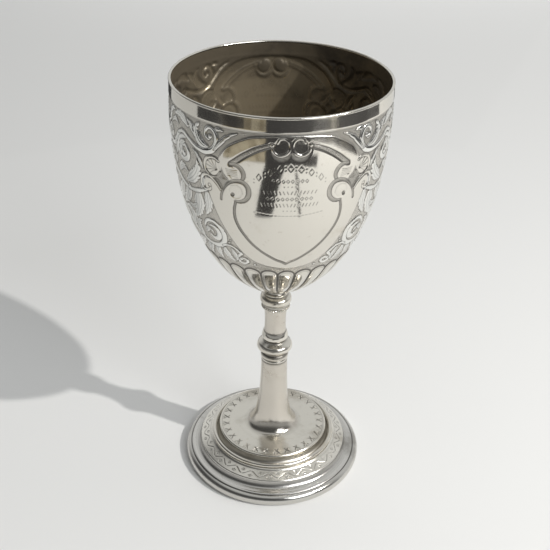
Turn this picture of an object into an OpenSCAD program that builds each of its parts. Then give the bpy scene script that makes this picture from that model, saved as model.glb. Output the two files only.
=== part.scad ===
// Trophy goblet: a chased bowl on a turned stem and a stepped round foot,
// drawn together by a tie rod with a nut under the foot.
// Millimetres, +Z up, origin at the centre of the foot's resting face.

/* [Bowl] */
// Outer diameter at the lip
rim_d = 90; // [78:1:102]
// Height of the bowl from its seat to its top edge
bowl_h = 97.4; // [84:0.2:112]
// Thickness of the sheet metal in the bowl
bowl_wall = 1.0; // [0.8:0.1:1.4]
// Radius of the section of the half-round wire on the lip
lip_wire_r = 0.6; // [0.5:0.05:0.8]
// Number of lobes in the gadrooned band round the base of the bowl
lobes = 28; // [20:2:32]
// Depth of the chased groove between two lobes
lobe_groove_depth = 0.45; // [0.25:0.05:0.6]
// Angle by which the front lobe stands to the right of the middle of the front
lobe_turn = 1.75; // [-6:0.25:6]

/* [Stem] */
// Height of the plain barrel in the upper stem
barrel_h = 13; // [10:0.5:18]
// Height of the trumpet-shaped lower stem
trumpet_h = 38.4; // [32:0.2:48]
// Number of beads in the ring under the upper knop
beads = 36; // [28:1:38]

/* [Foot] */
// Outer diameter of the foot
foot_d = 85.2; // [80:0.2:96]
// Radius of the section of the heavy wire round the foot
foot_wire_r = 2.9; // [2.6:0.1:3.2]

/* [Tie rod] */
// Diameter of the tie rod
rod_d = 5; // [4:0.5:6]
// Clearance round the rod and the spigots
play = 0.05; // [0.03:0.01:0.1]

/* [Hidden] */
$fn = 96;

silver = [0.83, 0.82, 0.79];
brass = [0.72, 0.58, 0.32];

rim_r = rim_d / 2;
foot_r = foot_d / 2;
rod_r = rod_d / 2;
sheet = 1.0;          // sheet thickness in the foot and the stem tubes
small_spigot_r = 3.6; // spigots between the solid turned rings
barrel_bore_r = 4.2;  // bore of the barrel, which sits on two spigots
flare_r = 16.5;       // radius of the trumpet's thin edge on the disc
rod_head_r = 4.3;     // head of the tie rod, soldered under the bowl
rod_head_h = 1.1;
washer_r = 11;
washer_h = 1.4;
skirt_r = foot_r - 4.4; // skirt of the flange, inside the foot's wire

// Heights of the stem's solid pieces
collar_h = 4.4;
knop_h = 5.7;
bead_ring_h = 1.4;
top_ring_h = 4.6;
main_ring_h = 7.3;
lower_ring_h = 4.2;

// Heights, from the foot up
z_shelf = 11.9;       // shelf that carries the dome and the moulding
z_disc = 17.6;        // height that the upper disc would reach on the axis
disc_fall = 0.0465;   // fall of the disc for each millimetre outwards
z_trumpet = z_disc - disc_fall * flare_r;
z_lower_ring = z_trumpet + trumpet_h;
z_main_ring = z_lower_ring + lower_ring_h;
z_top_ring = z_main_ring + main_ring_h;
z_barrel = z_top_ring + top_ring_h;
z_beads = z_barrel + barrel_h;
z_knop = z_beads + bead_ring_h;
z_collar = z_knop + knop_h;
z_bowl = z_collar + collar_h;
z_edge = z_bowl + bowl_h;
z_washer = z_disc - disc_fall * washer_r - sheet; // top of the washer's edge

// ---- Curves -------------------------------------------------------------

function curve_point(a, b, c, d, t) =
    0.5 * (2 * b + (c - a) * t + (2 * a - 5 * b + 4 * c - d) * t * t
    + (3 * b - a - 3 * c + d) * t * t * t);

// A smooth curve through the points, with n steps between each pair
function smooth(p, n) = [
    for (i = [0 : len(p) - 2], k = [0 : n - 1])
        curve_point(p[max(i - 1, 0)], p[i], p[i + 1], p[min(i + 2, len(p) - 1)], k / n),
    p[len(p) - 1]
];

// The path moved sideways by t, to its left
function beside(path, t) = [
    for (i = [0 : len(path) - 1])
        let (step = path[min(i + 1, len(path) - 1)] - path[max(i - 1, 0)])
        path[i] + t * [-step[1], step[0]] / norm(step)
];

function reversed(p) = [for (i = [len(p) - 1 : -1 : 0]) p[i]];

// ---- Shared shapes ------------------------------------------------------

// A round wire ring of section radius r, centred on [ring_r, z], cut flat below z_cut
module wire_ring(ring_r, z, r, z_cut) {
    rotate_extrude()
        intersection() {
            translate([ring_r, z]) circle(r = r);
            translate([0, z_cut]) square([ring_r + 2 * r, 4 * r]);
        }
}

// A solid of revolution about +Z from radius and height pairs, starting on the axis
module turned(profile) {
    rotate_extrude() polygon(profile);
}

// A cylinder on the axis from height z upwards, for rods, spigots and bores
module plug(r, z, h) {
    translate([0, 0, z]) cylinder(r = r, h = h);
}

// ---- Bowl ---------------------------------------------------------------

// Outer profile as shares of the rim's radius and the bowl's height
bowl_shape = [
    [0.15, 0], [0.267, 0.028], [0.407, 0.077], [0.564, 0.15], [0.702, 0.244], [0.82, 0.357],
    [0.916, 0.498], [0.968, 0.637], [1.006, 0.823], [1, 1]
];
bowl_outer = smooth([for (p = bowl_shape) [p[0] * rim_r, z_bowl + p[1] * bowl_h]], 3);
bowl_inner = beside(bowl_outer, bowl_wall);

// The arc that the gadroon grooves follow, through three points of the profile
groove_a = bowl_outer[3];
groove_b = bowl_outer[8];
groove_c = bowl_outer[13];
function arc_centre(a, b, c) =
    let (
        d = 2 * (a[0] * (b[1] - c[1]) + b[0] * (c[1] - a[1]) + c[0] * (a[1] - b[1])),
        u = a * a,
        v = b * b,
        w = c * c
    )
    [
        (u * (b[1] - c[1]) + v * (c[1] - a[1]) + w * (a[1] - b[1])) / d,
        (u * (c[0] - b[0]) + v * (a[0] - c[0]) + w * (b[0] - a[0])) / d
    ];
groove_centre = arc_centre(groove_a, groove_b, groove_c);
groove_radius = norm(groove_a - groove_centre);
function groove_angle(p) = atan2(p[1] - groove_centre[1], p[0] - groove_centre[0]);

// A bent wire, sunk to its depth in the outside of the bowl between two lobes
module lobe_groove() {
    wire_r = 0.9;
    translate([groove_centre[0], 0, groove_centre[1]])
        rotate([90, 0, 0])
            rotate([0, 0, groove_angle(groove_a)])
                rotate_extrude(angle = groove_angle(groove_c) - groove_angle(groove_a))
                    translate([groove_radius + wire_r - lobe_groove_depth, 0])
                        circle(r = wire_r);
}

module bowl() {
    color(silver)
        difference() {
            turned(concat(
                [[0, z_bowl]],
                bowl_outer,
                reversed(bowl_inner),
                [[0, z_bowl + bowl_wall]]
            ));
            for (i = [0 : lobes - 1])
                rotate([0, 0, (i + 0.5) * 360 / lobes - 90 + lobe_turn]) lobe_groove();
        }
}

// Half-round wire soldered on the bowl's top edge
module lip_wire() {
    color(silver)
        wire_ring(rim_r - bowl_wall / 2, z_edge + 0.3, lip_wire_r, z_edge);
}

// ---- Stem ---------------------------------------------------------------

// Reeded neck between the bowl and the upper knop
module bowl_collar() {
    neck = [
        [0, 0], [5.1, 0], [5.5, 0.5], [5.5, 0.9], [5.0, 1.3], [4.7, 1.7], [4.7, 2.3], [5.2, 2.9],
        [6.2, 3.4], [6.4, 3.9], [6.4, collar_h], [0, collar_h]
    ];
    color(silver)
        difference() {
            translate([0, 0, z_collar]) turned(neck);
            plug(rod_r + play, z_collar - 1, 6);
            plug(small_spigot_r + play, z_collar - 1, 2.2);
            plug(rod_head_r + play, z_bowl - rod_head_h, 2);
        }
}

module upper_knop() {
    ogee = smooth([
        [5.3, knop_h], [6.2, 5.2], [6.9, 4.5], [7.15, 3.5], [7.15, 2.6], [6.8, 1.8], [6.1, 1.2]
    ], 4);
    color(silver)
        difference() {
            union() {
                translate([0, 0, z_knop])
                    turned(concat([[0, knop_h]], ogee, [[6.1, 0], [0, 0]]));
                plug(barrel_bore_r - play, z_knop - 3.4, 4);
                plug(small_spigot_r, z_knop + 5, 1.8);
            }
            plug(rod_r + play, z_knop - 4, 14);
        }
}

// Ring of small beads round the knop's spigot
module bead_ring() {
    bead_r = 0.5;
    bead_path_r = 6.2;
    color(silver)
        difference() {
            union() {
                plug(bead_path_r - 0.1, z_beads, bead_ring_h);
                for (i = [0 : beads - 1])
                    rotate([0, 0, (i + 0.5) * 360 / beads])
                        translate([bead_path_r, 0, z_beads + bead_ring_h / 2]) sphere(r = bead_r);
            }
            plug(barrel_bore_r, z_beads - 1, 4);
        }
}

module stem_barrel() {
    waist = smooth([[5.25, 0], [4.95, 0.35], [4.88, 0.6], [5.0, 0.92], [5.15, 1]], 4);
    color(silver)
        difference() {
            translate([0, 0, z_barrel])
                turned(concat(
                    [[0, 0]],
                    [for (p = waist) [p[0], p[1] * barrel_h]],
                    [[0, barrel_h]]
                ));
            plug(barrel_bore_r, z_barrel - 1, barrel_h + 2);
        }
}

module knop_top_ring() {
    ring = smooth([
        [5.3, top_ring_h], [5.7, 3.6], [6.05, 2.4], [6.05, 1.2], [5.6, 0.4], [5.2, 0]
    ], 4);
    color(silver)
        difference() {
            union() {
                translate([0, 0, z_top_ring]) turned(concat([[0, top_ring_h]], ring, [[0, 0]]));
                plug(barrel_bore_r - play, z_top_ring + 4, 2.6);
                plug(small_spigot_r, z_top_ring - 1.2, 2);
            }
            plug(rod_r + play, z_top_ring - 2, 10);
        }
}

module knop_main_ring() {
    ring = smooth([
        [5.4, main_ring_h], [5.45, 6.7], [6.5, 6.0], [7.7, 5.2], [8.25, 3.9], [8.1, 2.6], [7.2, 1.6],
        [6.1, 1.1], [5.9, 0.5], [5.9, 0]
    ], 4);
    color(silver)
        difference() {
            translate([0, 0, z_main_ring]) turned(concat([[0, main_ring_h]], ring, [[0, 0]]));
            plug(rod_r + play, z_main_ring - 1, 10);
            plug(small_spigot_r + play, z_main_ring + 6, 2);
            plug(small_spigot_r + play, z_main_ring - 1, 2.3);
        }
}

module knop_lower_ring() {
    ring = smooth([
        [5.9, lower_ring_h], [6.3, 3.6], [6.55, 2.7], [6.4, 1.9], [5.9, 1.5], [6.1, 1.0], [6.2, 0.5],
        [6.1, 0]
    ], 4);
    color(silver)
        difference() {
            union() {
                translate([0, 0, z_lower_ring]) turned(concat([[0, lower_ring_h]], ring, [[0, 0]]));
                plug(small_spigot_r, z_lower_ring + 3, 2.4);
                plug(6.1 - sheet - play, z_lower_ring - 2.4, 3);
            }
            plug(rod_r + play, z_lower_ring - 3, 10);
        }
}

// Seamed trumpet tube, flaring to a thin edge that lies on the foot's disc
module trumpet_stem() {
    flare = [
        [flare_r, 0.25], [14.6, 0.95], [12.4, 2.1], [10.6, 3.8], [9.15, 6.0], [8.1, 9.0],
        [7.35, 13], [6.8, 19], [6.35, 28], [6.1, 38.4]
    ];
    flare_h = flare[len(flare) - 1][1];
    outer = smooth([for (p = flare) [p[0], z_trumpet + p[1] * trumpet_h / flare_h]], 4);
    hollow = [for (p = outer) if (p[0] < 10.6) [p[0] - sheet, p[1]]];
    color(silver)
        difference() {
            turned(concat(
                [[0, z_disc], [flare_r, z_trumpet]],
                outer,
                [[0, z_lower_ring]]
            ));
            turned(concat(
                [[0, z_trumpet - 1], [hollow[0][0], z_trumpet - 1]],
                hollow,
                [[hollow[len(hollow) - 1][0], z_lower_ring + 1], [0, z_lower_ring + 1]]
            ));
        }
}

// ---- Foot ---------------------------------------------------------------

// Upper disc with its rolled lip and the riser below it
module foot_dome() {
    disc_hole_r = 4;
    top = concat(
        [[disc_hole_r, z_disc - disc_fall * disc_hole_r], [25.2, z_disc - disc_fall * 25.2]],
        smooth([
            [25.7, z_disc - 1.25], [26.1, z_disc - 1.7], [26.1, z_disc - 2.3], [26.2, z_disc - 3.2],
            [26.6, z_disc - 4.2], [27.4, z_disc - 5.0]
        ], 3),
        [[27.4, z_shelf]]
    );
    under = [
        [25.9, z_shelf], [25.2, z_disc - 4.4], [24.9, z_disc - 2.6],
        [24.4, z_disc - disc_fall * 25 - sheet],
        [disc_hole_r, z_disc - disc_fall * disc_hole_r - sheet]
    ];
    color(silver) turned(concat(top, under));
}

// Half-round wire in the corner between the dome and the flange
module foot_moulding() {
    moulding_r = 28.65;
    wire_r = 1.15;
    color(silver) wire_ring(moulding_r, z_shelf + 0.95, wire_r, z_shelf);
}

// Stepped flange: the shelf, the engraved band, the cavetto and the skirt inside the rim
module foot_flange() {
    shelf = [[26.2, z_shelf], [29.8, z_shelf]];
    band = concat(smooth([[30.1, 11.7], [30.6, 11.2], [31.2, 10.9]], 3), [[34.6, 9.35]]);
    drop = smooth([
        [35.1, 9.0], [35.35, 8.4], [35.4, 7.6], [35.8, 6.6], [36.6, 5.8], [skirt_r, 4.9]
    ], 4);
    under = concat(
        [[skirt_r, 1], [skirt_r - sheet, 1], [skirt_r - sheet, 4.2]],
        smooth([[36.0, 5.0], [35.0, 6.0], [34.4, 7.3], [34.2, 8.5]], 3),
        [[30.8, 9.9], [29.3, z_shelf - sheet], [26.2, z_shelf - sheet]]
    );
    color(silver) turned(concat(shelf, band, drop, under));
}

// Heavy wire that the goblet stands on, rebated for the flange's skirt
module foot_rim() {
    wire_centre_z = 2.2;
    color(silver)
        difference() {
            wire_ring(foot_r - foot_wire_r, wire_centre_z, foot_wire_r, 0);
            plug(skirt_r, -1, 9);
        }
}

// ---- Tie rod and its fittings -------------------------------------------

// Rod from below the nut up to its head in the collar
module tie_rod() {
    rod_bottom_z = 9.2;
    color(brass) {
        plug(rod_r, rod_bottom_z, z_bowl - rod_bottom_z);
        plug(rod_head_r, z_bowl - rod_head_h, rod_head_h);
    }
}

// Dished washer that spreads the nut's pull over the foot's disc
module cup_washer() {
    z_top = z_washer;
    color(brass)
        difference() {
            turned([
                [0, z_top - washer_h], [5.5, z_top - washer_h], [8.5, z_top - 1.0],
                [washer_r, z_top - 0.8], [washer_r, z_top], [8.5, z_top - 0.1],
                [5.5, z_top - 0.4], [0, z_top - 0.4]
            ]);
            plug(rod_r + play, z_top - 3, 6);
        }
}

module rod_nut() {
    nut_h = 4;
    nut_flats = 8;
    z_seat = z_washer - washer_h;
    color(brass)
        difference() {
            translate([0, 0, z_seat - nut_h])
                cylinder(d = nut_flats / cos(30), h = nut_h, $fn = 6);
            plug(rod_r + play, z_seat - nut_h - 1, nut_h + 2);
        }
}

bowl();
lip_wire();
bowl_collar();
upper_knop();
bead_ring();
stem_barrel();
knop_top_ring();
knop_main_ring();
knop_lower_ring();
trumpet_stem();
foot_dome();
foot_moulding();
foot_flange();
foot_rim();
tie_rod();
cup_washer();
rod_nut();
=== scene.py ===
"""Looks of the trophy goblet: a chased silver-plated bowl on a turned stem and a stepped foot.

Lengths are in millimetres until a mesh is made. An angle is in degrees from the front (-Y) towards +X,
and a place on the bowl's ornament is (angle from the middle of a shield, distance up the wall).
"""

import math

import bpy
import numpy as np
from mathutils import Matrix, Vector


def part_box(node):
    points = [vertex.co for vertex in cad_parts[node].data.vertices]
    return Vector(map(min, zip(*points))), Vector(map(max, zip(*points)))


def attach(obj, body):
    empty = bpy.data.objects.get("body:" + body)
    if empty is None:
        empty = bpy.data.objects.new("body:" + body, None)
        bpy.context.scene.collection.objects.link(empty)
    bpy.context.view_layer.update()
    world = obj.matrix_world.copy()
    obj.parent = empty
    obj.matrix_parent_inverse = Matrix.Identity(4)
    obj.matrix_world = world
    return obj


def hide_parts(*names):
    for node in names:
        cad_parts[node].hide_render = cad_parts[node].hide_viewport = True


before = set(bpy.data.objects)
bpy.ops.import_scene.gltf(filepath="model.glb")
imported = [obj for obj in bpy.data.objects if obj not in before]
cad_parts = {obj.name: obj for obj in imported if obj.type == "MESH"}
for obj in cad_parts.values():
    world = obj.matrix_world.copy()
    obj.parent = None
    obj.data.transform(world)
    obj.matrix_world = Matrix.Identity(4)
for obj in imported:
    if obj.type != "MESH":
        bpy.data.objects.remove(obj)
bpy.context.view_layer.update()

MM = 0.001


def lowest(node):
    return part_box(node)[0][2] / MM


def highest(node):
    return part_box(node)[1][2] / MM


def half_width(node):
    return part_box(node)[1][0] / MM


def unit(values):
    """The values held between 0 and 1."""
    return np.clip(values, 0, 1)


def linked(name, data):
    """A new object for the data, in the scene."""
    made = bpy.data.objects.new(name, data)
    bpy.context.scene.collection.objects.link(made)
    return made


# ---- Curves ---------------------------------------------------------------


def smooth(points, steps):
    """A smooth curve through the points, with so many steps between each pair."""
    p = np.array(points, float)
    out = []
    for i in range(len(p) - 1):
        a, b, c, d = p[max(i - 1, 0)], p[i], p[i + 1], p[min(i + 2, len(p) - 1)]
        for k in range(steps):
            t = k / steps
            out.append(0.5 * (2 * b + (c - a) * t + (2 * a - 5 * b + 4 * c - d) * t**2
                              + (3 * b - a - 3 * c + d) * t**3))
    out.append(p[-1])
    return np.array(out)


def lengths(path):
    """Distance along the path at each of its points."""
    return np.concatenate([[0], np.cumsum(np.linalg.norm(np.diff(path, axis=0), axis=1))])


def resample(path, step):
    """The path again with points about one step apart."""
    along = lengths(path)
    count = max(2, int(round(along[-1] / step)) + 1)
    at = np.linspace(0, along[-1], count)
    return np.stack([np.interp(at, along, path[:, i]) for i in range(path.shape[1])], 1)


def sideways(path, closed=False):
    """Unit normals to the right of the path, which is outwards on a wall drawn upwards."""
    if closed:
        step = np.roll(path, -1, 0) - np.roll(path, 1, 0)
    else:
        step = np.gradient(path, axis=0)
    step /= np.maximum(np.linalg.norm(step, axis=1, keepdims=True), 1e-9)
    return np.stack([step[:, 1], -step[:, 0]], 1)


SHARP_TURN = 12.0  # degrees from which a corner is eased
EASE_STEPS = 3
GUARD_GAP = 0.06


def rounded(section, radius=0.14):
    """A closed section with each sharp corner eased, and a point close on both sides of it that keeps
    the faces beside it flat."""
    p = np.array(section, float)
    out = []
    for i, v in enumerate(p):
        before, after = p[i - 1] - v, p[(i + 1) % len(p)] - v
        before_length, after_length = np.linalg.norm(before), np.linalg.norm(after)
        if before_length < 1e-6 or after_length < 1e-6:
            continue
        before, after = before / before_length, after / after_length
        turn = 180 - math.degrees(math.acos(np.clip(before @ after, -1, 1)))
        if turn < SHARP_TURN:
            out.append(v)
            continue
        cut = min(radius * math.tan(math.radians(turn / 2)), 0.35 * before_length, 0.35 * after_length)
        start, end = v + before * cut, v + after * cut
        out.append(start + before * min(GUARD_GAP, 0.1 * before_length))
        for k in range(EASE_STEPS + 1):
            t = k / EASE_STEPS
            out.append((1 - t) ** 2 * start + 2 * t * (1 - t) * v + t**2 * end)
        out.append(end + after * min(GUARD_GAP, 0.1 * after_length))
    return np.array(out)


# ---- Meshes ---------------------------------------------------------------


def shell(name, points, marks, loop=False):
    """A smooth mesh over a grid of points (rows, columns, xyz), closed round its columns, and with loop
    round its rows too. Its marks become float attributes that the material reads."""
    rows, cols = points.shape[:2]
    r = np.arange(rows if loop else rows - 1)[:, None]
    c = np.arange(cols)[None, :]
    up, on = (r + 1) % rows, (c + 1) % cols
    quads = np.stack([r * cols + c, r * cols + on, up * cols + on, up * cols + c], -1).reshape(-1, 4)
    mesh = bpy.data.meshes.new(name)
    mesh.vertices.add(rows * cols)
    mesh.vertices.foreach_set("co", (points * MM).astype(np.float32).ravel())
    mesh.loops.add(quads.size)
    mesh.loops.foreach_set("vertex_index", quads.astype(np.int32).ravel())
    mesh.polygons.add(len(quads))
    mesh.polygons.foreach_set("loop_start", np.arange(0, quads.size, 4, dtype=np.int32))
    mesh.polygons.foreach_set("use_smooth", np.ones(len(quads), bool))
    mesh.update(calc_edges=True)
    for key, values in marks.items():
        flat = np.broadcast_to(values, (rows, cols)).astype(np.float32).ravel()
        mesh.attributes.new(key, "FLOAT", "POINT").data.foreach_set("value", flat)
    return linked(name, mesh)


def spin(section, cols, push=None, normal=None):
    """Points of the section (radius, height) turned round the axis, pushed along its normals by push.
    A section with no normals given is closed."""
    angle = np.radians(np.arange(cols) * 360 / cols)
    r = np.repeat(section[:, :1], cols, 1)
    z = np.repeat(section[:, 1:2], cols, 1)
    if push is not None:
        if normal is None:
            normal = sideways(section, closed=True)
        r = r + normal[:, :1] * push
        z = z + normal[:, 1:2] * push
    return np.stack([r * np.sin(angle), -r * np.cos(angle), z], -1)


def off_line(x, y, start, end):
    """How far the points (x, y) lie from the straight line between two points."""
    (x0, y0), (x1, y1) = start, end
    dx, dy = x1 - x0, y1 - y0
    t = unit(((x - x0) * dx + (y - y0) * dy) / (dx**2 + dy**2))
    return np.hypot(x - x0 - t * dx, y - y0 - t * dy)


CREVICE_REACH = 0.35  # how far the painted shade of a hollow corner reaches


def crevice_shade(section):
    """How far each point of a closed section lies in a hollow corner, from 0 to 1, taken as painted shade."""
    n = sideways(section, closed=True)
    along = np.linalg.norm(np.roll(section, -1, 0) - section, axis=1)
    turn = np.roll(n, -1, 0) - n
    step = (np.roll(section, -1, 0) - section) / np.maximum(along, 1e-6)[:, None]
    bend = (turn * step).sum(1)
    hollow = unit(-bend * 2.2)
    place = lengths(section)
    out = np.zeros(len(section))
    for i in np.nonzero(hollow > 0.05)[0]:
        reach = np.abs(place - place[i])
        out = np.maximum(out, hollow[i] * np.exp(-((reach / CREVICE_REACH) ** 2)))
    return out


# ---- Materials ------------------------------------------------------------


class Nodes:
    """The node tree of a material or a world, with short calls for the nodes used here."""

    def __init__(self, owner, shader="Principled BSDF", place="Object"):
        self.owner = owner
        owner.use_nodes = True
        self.tree = owner.node_tree
        self.shader = self.tree.nodes[shader]
        self.place = self.add("ShaderNodeTexCoord").outputs[place]

    def add(self, kind, **settings):
        node = self.tree.nodes.new(kind)
        for key, value in settings.items():
            setattr(node, key, value)
        return node

    def plug(self, value, socket):
        if isinstance(value, bpy.types.NodeSocket):
            self.tree.links.new(value, socket)
        else:
            socket.default_value = value

    def math(self, operation, a, b=0.0, clamp=False):
        node = self.add("ShaderNodeMath", operation=operation, use_clamp=clamp)
        self.plug(a, node.inputs[0])
        self.plug(b, node.inputs[1])
        return node.outputs[0]

    def ramp(self, value, low, high, to_low=0.0, to_high=1.0):
        node = self.add("ShaderNodeMapRange", interpolation_type="SMOOTHSTEP")
        self.plug(value, node.inputs["Value"])
        for key, number in (("From Min", low), ("From Max", high), ("To Min", to_low), ("To Max", to_high)):
            self.plug(number, node.inputs[key])
        return node.outputs["Result"]

    def mix(self, share, a, b):
        node = self.add("ShaderNodeMix", data_type="RGBA")
        self.plug(share, node.inputs[0])
        for value, socket in ((a, node.inputs[6]), (b, node.inputs[7])):
            self.plug((*value, 1.0) if isinstance(value, tuple) else value, socket)
        return node.outputs[2]

    def stretched(self, scale):
        node = self.add("ShaderNodeMapping")
        self.plug(self.place, node.inputs["Vector"])
        self.plug(scale, node.inputs["Scale"])
        return node.outputs["Vector"]

    def noise(self, scale, detail=3.0, roughness=0.55, vector=None, distortion=0.0):
        node = self.add("ShaderNodeTexNoise")
        self.plug(vector or self.place, node.inputs["Vector"])
        for key, number in (("Scale", scale), ("Detail", detail), ("Roughness", roughness),
                            ("Distortion", distortion)):
            self.plug(number, node.inputs[key])
        return node.outputs["Fac"]

    def cells(self, scale):
        node = self.add("ShaderNodeTexVoronoi", feature="F1")
        self.plug(self.place, node.inputs["Vector"])
        self.plug(scale, node.inputs["Scale"])
        return node.outputs["Distance"]

    def mark(self, name):
        return self.add("ShaderNodeAttribute", attribute_type="GEOMETRY", attribute_name=name).outputs["Fac"]

    def bump(self, height, distance, strength=1.0, onto=None):
        node = self.add("ShaderNodeBump")
        self.plug(strength, node.inputs["Strength"])
        self.plug(distance, node.inputs["Distance"])
        self.plug(height, node.inputs["Height"])
        if onto is not None:
            self.plug(onto, node.inputs["Normal"])
        return node.outputs["Normal"]


SPECK = (0.42, 0.36, 0.28)
POLISH_AND_SHEEN = (0.87, 0.87, 0.84)  # the raised chasing: the polish it keeps, and a painted sheen that whitens it
MATT = (0.53, 0.505, 0.46)  # the punched ground
SOOT_AND_SHADE = (0.045, 0.04, 0.035)  # old polish, and painted shade, in the cuts and creases


def silver(name, bright, stained, stain, gloss, turned=True, scratch=0.3, metal=1.0, below=None, polish=None):
    """Polished silver plate: clouds of tarnish, polishing marks, pits, a painted sheen on the raised chasing,
    and old polish with painted shade in its cuts and creases.
    stain is the share that is tarnished, and gloss the roughness of the cleanest metal.
    below gives another finish lower down: the two heights it changes between, bright, stained and gloss.
    polish is a height about which the metal grows smoother downwards, and the roughness it reaches."""
    n = Nodes(bpy.data.materials.new(name))
    height = n.add("ShaderNodeSeparateXYZ")
    n.plug(n.place, height.inputs[0])
    height = height.outputs["Z"]
    if polish:
        level, smoothest = polish
        gloss = n.ramp(height, (level - 2) * MM, (level + 7) * MM, smoothest, gloss)
    if below:
        start, end, low_bright, low_stained, low_gloss = below
        share = n.ramp(height, start * MM, end * MM)
        bright = n.mix(share, low_bright, bright)
        stained = n.mix(share, low_stained, stained)
        gloss = n.ramp(height, start * MM, end * MM, low_gloss, gloss)
    cloud = n.noise(38, 5, 0.6, distortion=0.4)
    haze = n.ramp(cloud, 0.62 - 0.35 * stain, 0.8 - 0.2 * stain)
    fine = n.noise(900, 2, 0.5)
    specks = n.ramp(n.noise(420, 2, 0.6), 0.66, 0.74)
    dark, matt = n.mark("dark"), n.mark("matt")
    colour = n.mix(haze, bright, stained)
    colour = n.mix(n.math("MULTIPLY", specks, 0.25), colour, SPECK)
    colour = n.mix(n.math("MULTIPLY", n.mark("clean"), 0.8), colour, POLISH_AND_SHEEN)
    colour = n.mix(n.math("MULTIPLY", matt, 0.7), colour, MATT)
    colour = n.mix(n.math("MULTIPLY", dark, 0.88, clamp=True), colour, SOOT_AND_SHADE)
    n.plug(colour, n.shader.inputs["Base Color"])
    n.shader.inputs["Metallic"].default_value = metal
    rough = n.math("ADD", n.math("MULTIPLY", haze, 0.10), gloss)
    rough = n.math("ADD", rough, n.math("MULTIPLY", fine, 0.05))
    rough = n.math("ADD", rough, n.math("MULTIPLY", matt, 0.18))
    rough = n.math("ADD", rough, n.math("MULTIPLY", dark, 0.25), clamp=True)
    n.plug(rough, n.shader.inputs["Roughness"])
    lines = n.noise(260, 3, 0.6, vector=n.stretched((1, 1, 14 if turned else 4)))
    normal = n.bump(lines, 0.00002, scratch)
    punched = n.math("MULTIPLY", n.cells(2600), matt)
    normal = n.bump(punched, 0.00012, 0.9, onto=normal)
    n.plug(normal, n.shader.inputs["Normal"])
    return n.owner


def brass(name):
    n = Nodes(bpy.data.materials.new(name))
    cloud = n.noise(160, 4, 0.6)
    colour = n.mix(n.ramp(cloud, 0.4, 0.7), (0.60, 0.45, 0.20), (0.30, 0.21, 0.10))
    n.plug(colour, n.shader.inputs["Base Color"])
    n.shader.inputs["Metallic"].default_value = 1.0
    n.plug(n.ramp(cloud, 0.3, 0.7, 0.28, 0.5), n.shader.inputs["Roughness"])
    lines = n.noise(700, 2, 0.6, vector=n.stretched((1, 1, 12)))
    n.plug(n.bump(lines, 0.00003, 0.5), n.shader.inputs["Normal"])
    return n.owner


def plain(name, colour, roughness):
    n = Nodes(bpy.data.materials.new(name))
    n.shader.inputs["Base Color"].default_value = (*colour, 1)
    n.shader.inputs["Roughness"].default_value = roughness
    return n.owner


def mottled(name, light, dark):
    n = Nodes(bpy.data.materials.new(name))
    share = n.ramp(n.noise(14, 4, 0.6, distortion=0.5), 0.4, 0.62)
    n.plug(n.mix(share, light, dark), n.shader.inputs["Base Color"])
    n.shader.inputs["Roughness"].default_value = 0.9
    return n.owner


def put(piece, material, node=None):
    """Gives the piece its material and its place in the frame, standing for a CAD node."""
    piece.data.materials.clear()
    piece.data.materials.append(material)
    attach(piece, "root")
    if node:
        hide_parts(node)


# ---- Bowl: chased relief --------------------------------------------------

# The bowl's outline, as shares of the rim's radius and of the bowl's height
BOWL_SHAPE = [
    (0.15, 0), (0.267, 0.028), (0.407, 0.077), (0.564, 0.15), (0.702, 0.244), (0.82, 0.357),
    (0.916, 0.498), (0.968, 0.637), (1.006, 0.823), (1, 1),
]
BOWL_Z = lowest("bowl")
BOWL_H = highest("bowl") - BOWL_Z
RIM_R = half_width("bowl") / smooth(BOWL_SHAPE, 3)[:, 0].max()
WALL = 1.0
LOBES = 28
LOBE_TURN = 1.75  # the front lobe stands this many degrees to the right of the middle
GROUND = -0.34  # the matted ground lies this far below the leaves
ARC_TOP = 113.65  # distance up the wall at the bowl's edge
BAND_FOOT, BAND_TOP = 42.4, 108.3  # the chased band
LOBES_TOP = 41.4
SOFT = 0.22  # width of the soft edge of a raised shape


def profile(along, values):
    """The values spread evenly from 0 to 1, read where along says."""
    return np.interp(along, np.linspace(0, 1, len(values)), values)


def eased(values):
    return values * values * (3 - 2 * values)


def in_band(arc):
    """Which heights, as a column, lie in the chased band."""
    return (arc[:, None] > BAND_FOOT) & (arc[:, None] < BAND_TOP)


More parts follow.
